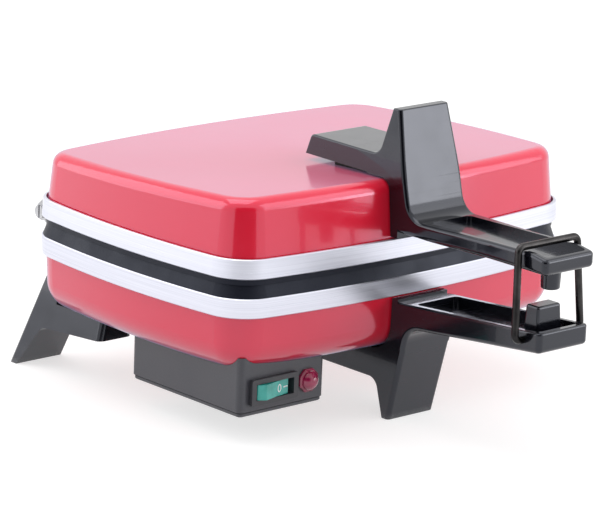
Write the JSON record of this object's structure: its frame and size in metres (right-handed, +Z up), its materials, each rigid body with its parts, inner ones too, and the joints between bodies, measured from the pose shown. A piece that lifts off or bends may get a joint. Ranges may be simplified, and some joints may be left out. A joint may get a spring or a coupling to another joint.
{
  "type": "sandwich maker",
  "caption": "Red enamelled sandwich toaster with hinged lid, brushed bands, black stand-up handles latched by a wire bail, splayed rear feet and a rocker switch box below.",
  "frame": {"origin": "on the table, under the middle of the whole object's bounding box", "axes": "+X to the right seen from the handle side, +Y from the handles towards the hinges, +Z up"},
  "size_m": [0.26, 0.3216, 0.1744],
  "materials": {
    "red_enamel": "gloss enamel on steel",
    "brushed_band": "brushed",
    "cast_plate": "dark non-stick coated casting",
    "black_moulding": "glossy phenolic",
    "black_box": "satin phenolic",
    "steel_wire": "dark bright wire",
    "bright_steel": "bright plated",
    "heater_steel": "annealed sheath",
    "tray_sheet": "plain sheet",
    "gasket": "heat-resisting fibre",
    "grommet_rubber": "soft rubber",
    "switch_black": "satin nylon",
    "rocker_green": "clear green, moulded",
    "lamp_red": "clear red, moulded",
    "lamp_black": "nylon",
    "ceramic": null,
    "lead_sleeve": "silicone sleeve",
    "thermostat_body": "phenolic"
  },
  "bodies": {
    "body": {"lower_shell": "red_enamel", "lower_band": "brushed_band", "lower_plate": "cast_plate", "lower_plate_clips": "tray_sheet", "lower_plate_screws": "bright_steel", "lower_element": "heater_steel", "lower_tray": "tray_sheet", "lower_tray_screws": "bright_steel", "thermostat": "thermostat_body", "lower_handle": "black_moulding", "lower_handle_screws": "bright_steel", "lower_handle_gasket": "gasket", "rear_foot_right": "black_moulding", "rear_foot_left": "black_moulding", "rear_foot_screws": "bright_steel", "base_hinge_right": "bright_steel", "base_hinge_left": "bright_steel", "base_hinge_rivets": "bright_steel", "hinge_pins": "bright_steel", "hinge_washers": "bright_steel", "switch_box": "black_box", "box_cover": "black_box", "cover_screws": "bright_steel", "box_screws": "bright_steel", "lead_grommet": "grommet_rubber", "switch_body": "switch_black", "lamp_lens": "lamp_red", "lamp_holder": "lamp_black", "lamp_nut": "lamp_black", "cord_gland": "black_box", "gland_nut": "black_box", "terminal_block": "ceramic", "element_leads": "lead_sleeve", "switch_leads": "lead_sleeve"},
    "lid": {"upper_shell": "red_enamel", "upper_band": "brushed_band", "upper_plate": "cast_plate", "upper_plate_clips": "tray_sheet", "upper_plate_screws": "bright_steel", "upper_element": "heater_steel", "upper_tray": "tray_sheet", "upper_tray_screws": "bright_steel", "upper_handle": "black_moulding", "upper_handle_screws": "bright_steel", "upper_handle_gasket": "gasket", "lid_hinge_right": "bright_steel", "lid_hinge_left": "bright_steel", "lid_hinge_rivets": "bright_steel"},
    "bail": {"bail": "steel_wire"},
    "rocker": {"rocker": "rocker_green"}
  },
  "joints": [
    {"name": "lid_hinge", "type": "hinge", "parent": "body", "child": "lid", "pos_m": [0, 0.15307, 0.0875], "axis": [-1, 0, 0], "range_deg": [0, 180]},
    {"name": "bail_swing", "type": "hinge", "parent": "body", "child": "bail", "pos_m": [0, -0.14723, 0.071], "axis": [1, 0, 0], "range_deg": [0, 255]},
    {"name": "rocker_tilt", "type": "hinge", "parent": "body", "child": "rocker", "pos_m": [-0.0919, -0.03313, 0.0288], "axis": [0, 0, -1], "range_deg": [0, 24]}
  ]
}
